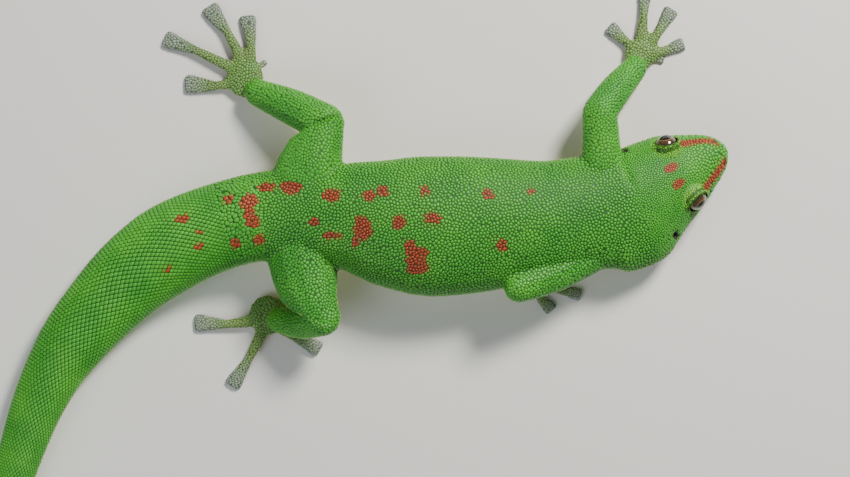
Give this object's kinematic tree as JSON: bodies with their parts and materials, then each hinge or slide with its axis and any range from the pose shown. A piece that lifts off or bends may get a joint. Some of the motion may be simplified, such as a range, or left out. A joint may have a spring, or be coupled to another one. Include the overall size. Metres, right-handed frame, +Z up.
{
  "type": "day gecko",
  "caption": "Green day gecko, long-bodied with splayed limbs, broad adhesive toe pads, a blunt snout and a thick tail swept to one side, lying flat on its belly.",
  "frame": {"origin": "on the floor under the middle of the animal's bounding box", "axes": "+X ahead along the body towards the head, +Y to the animal's own left, +Z up"},
  "size_m": [0.1848, 0.1642, 0.0223],
  "materials": {
    "back_skin": "satin",
    "leg_skin": "satin",
    "sole_skin": "matte",
    "toe_pad": "matte",
    "eye": "gloss"
  },
  "bodies": {
    "root": {"eye_left": "eye", "eye_right": "eye", "foot_hind_left": "sole_skin", "foot_hind_right": "sole_skin", "forearm_front_left": "leg_skin", "forearm_front_right": "leg_skin", "hand_front_left": "sole_skin", "hand_front_right": "sole_skin", "head": "back_skin", "neck": "back_skin", "shin_hind_left": "leg_skin", "shin_hind_right": "leg_skin", "tail_base": "back_skin", "tail_middle": "back_skin", "tail_rear": "back_skin", "tail_tip": "back_skin", "thigh_hind_left": "leg_skin", "thigh_hind_right": "leg_skin", "toe_1_front_left": "toe_pad", "toe_1_front_right": "toe_pad", "toe_1_hind_left": "toe_pad", "toe_1_hind_right": "toe_pad", "toe_2_front_left": "toe_pad", "toe_2_front_right": "toe_pad", "toe_2_hind_left": "toe_pad", "toe_2_hind_right": "toe_pad", "toe_3_front_left": "toe_pad", "toe_3_front_right": "toe_pad", "toe_3_hind_left": "toe_pad", "toe_3_hind_right": "toe_pad", "toe_4_front_left": "toe_pad", "toe_4_front_right": "toe_pad", "toe_4_hind_left": "toe_pad", "toe_4_hind_right": "toe_pad", "toe_5_front_left": "toe_pad", "toe_5_front_right": "toe_pad", "toe_5_hind_left": "toe_pad", "toe_5_hind_right": "toe_pad", "torso": "back_skin", "upper_arm_front_left": "leg_skin", "upper_arm_front_right": "leg_skin"}
  },
  "joints": []
}
